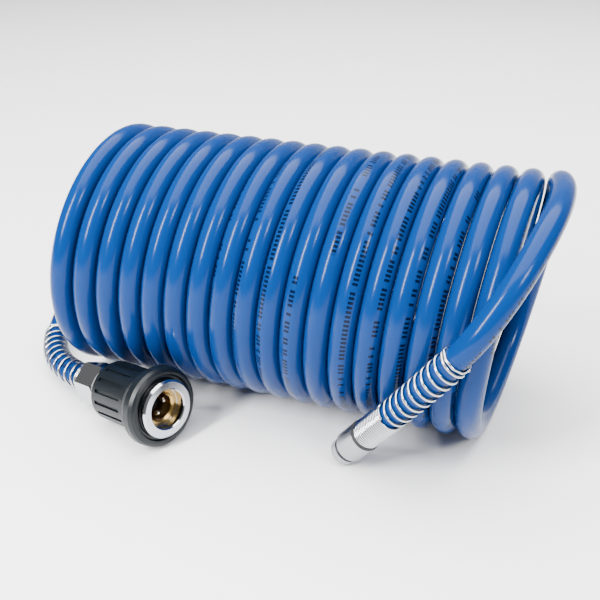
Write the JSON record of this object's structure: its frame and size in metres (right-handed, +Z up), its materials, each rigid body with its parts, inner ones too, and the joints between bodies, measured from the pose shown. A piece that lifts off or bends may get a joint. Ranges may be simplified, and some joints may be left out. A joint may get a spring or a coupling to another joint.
{
  "type": "coiled air hose",
  "caption": "Blue coiled air hose with a push-in coupler in a black rubber grip on one end, a steel plug on the other, and wire bend guards at both.",
  "frame": {"origin": "under the middle of the whole object's box, on the floor it lies on", "axes": "+X along the coil's axis from the coupler's end to the plug's end, +Y away from the fittings, +Z up"},
  "size_m": [0.3056, 0.1678, 0.1366],
  "materials": {
    "hose_blue": "Glossy blue polyurethane hose",
    "rubber_black": "Black rubber grip with long narrow slots",
    "chrome": "Polished chrome plated steel",
    "zinc_steel": "Bright zinc plated steel, turned",
    "spring_steel": "Bright spring wire",
    "brass": "Turned brass",
    "seal_rubber": "Black nitrile seal",
    "ball_steel": "Hardened steel ball",
    "valve_plastic": "Pale acetal valve poppet",
    "washer_fibre": "Grey sealing washer"
  },
  "bodies": {
    "hose_and_coupler": {"hose_coil": "hose_blue", "hose_tail_coupler": "hose_blue", "coupler_socket_body": "brass", "coupler_plug_seal": "seal_rubber", "coupler_nose_ring": "chrome", "coupler_sleeve_spring": "spring_steel", "coupler_valve_spring": "spring_steel", "coupler_hex_adapter": "chrome", "coupler_washer": "washer_fibre", "coupler_hose_stem": "brass", "coupler_guard_clamp": "spring_steel", "coupler_bend_guard": "spring_steel"},
    "release_sleeve": {"coupler_sleeve": "zinc_steel", "coupler_grip": "rubber_black"},
    "check_valve": {"coupler_valve": "valve_plastic", "coupler_valve_seal": "seal_rubber"},
    "locking_ball_1": {"coupler_ball_1": "ball_steel"},
    "locking_ball_2": {"coupler_ball_2": "ball_steel"},
    "locking_ball_3": {"coupler_ball_3": "ball_steel"},
    "locking_ball_4": {"coupler_ball_4": "ball_steel"},
    "locking_ball_5": {"coupler_ball_5": "ball_steel"},
    "locking_ball_6": {"coupler_ball_6": "ball_steel"},
    "plug_end": {"hose_tail_plug": "hose_blue", "plug_nipple": "zinc_steel", "plug_nut": "zinc_steel", "plug_hose_stem": "brass", "plug_washer": "seal_rubber", "plug_guard_clamp": "spring_steel", "plug_bend_guard": "spring_steel", "plug_guard_end": "spring_steel"}
  },
  "joints": [
    {"name": "coil_stretch", "type": "slide", "parent": "hose_and_coupler", "child": "plug_end", "axis": [1, 0, 0], "range_m": [0, 4.5], "stiffness_N_per_m": 4, "springref_m": -0.25, "deforming": ["hose_coil"]},
    {"name": "sleeve_slide", "type": "slide", "parent": "hose_and_coupler", "child": "release_sleeve", "axis": [-0.9357, 0.3222, -0.1439], "range_m": [0, 0.0045], "stiffness_N_per_m": 1500, "springref_m": -0.004, "deforming": ["coupler_sleeve_spring"]},
    {"name": "valve_slide", "type": "slide", "parent": "hose_and_coupler", "child": "check_valve", "axis": [-0.9357, 0.3222, -0.1439], "range_m": [0, 0.004], "stiffness_N_per_m": 800, "springref_m": -0.003, "deforming": ["coupler_valve_spring"]},
    {"name": "ball_1_slide", "type": "slide", "parent": "hose_and_coupler", "child": "locking_ball_1", "axis": [0.2347, 0.2635, -0.9357], "range_m": [0, 0.0012]},
    {"name": "ball_2_slide", "type": "slide", "parent": "hose_and_coupler", "child": "locking_ball_2", "axis": [0.3456, 0.9192, -0.1888], "range_m": [0, 0.0012]},
    {"name": "ball_3_slide", "type": "slide", "parent": "hose_and_coupler", "child": "locking_ball_3", "axis": [0.1109, 0.6557, 0.7469], "range_m": [0, 0.0012]},
    {"name": "ball_4_slide", "type": "slide", "parent": "hose_and_coupler", "child": "locking_ball_4", "axis": [-0.2347, -0.2635, 0.9357], "range_m": [0, 0.0012]},
    {"name": "ball_5_slide", "type": "slide", "parent": "hose_and_coupler", "child": "locking_ball_5", "axis": [-0.3456, -0.9192, 0.1888], "range_m": [0, 0.0012]},
    {"name": "ball_6_slide", "type": "slide", "parent": "hose_and_coupler", "child": "locking_ball_6", "axis": [-0.1109, -0.6557, -0.7469], "range_m": [0, 0.0012]}
  ],
  "couplings": [
    {"joint": "ball_1_slide", "follows": "sleeve_slide", "ratio": 0.26667},
    {"joint": "ball_2_slide", "follows": "sleeve_slide", "ratio": 0.26667},
    {"joint": "ball_3_slide", "follows": "sleeve_slide", "ratio": 0.26667},
    {"joint": "ball_4_slide", "follows": "sleeve_slide", "ratio": 0.26667},
    {"joint": "ball_5_slide", "follows": "sleeve_slide", "ratio": 0.26667},
    {"joint": "ball_6_slide", "follows": "sleeve_slide", "ratio": 0.26667}
  ]
}
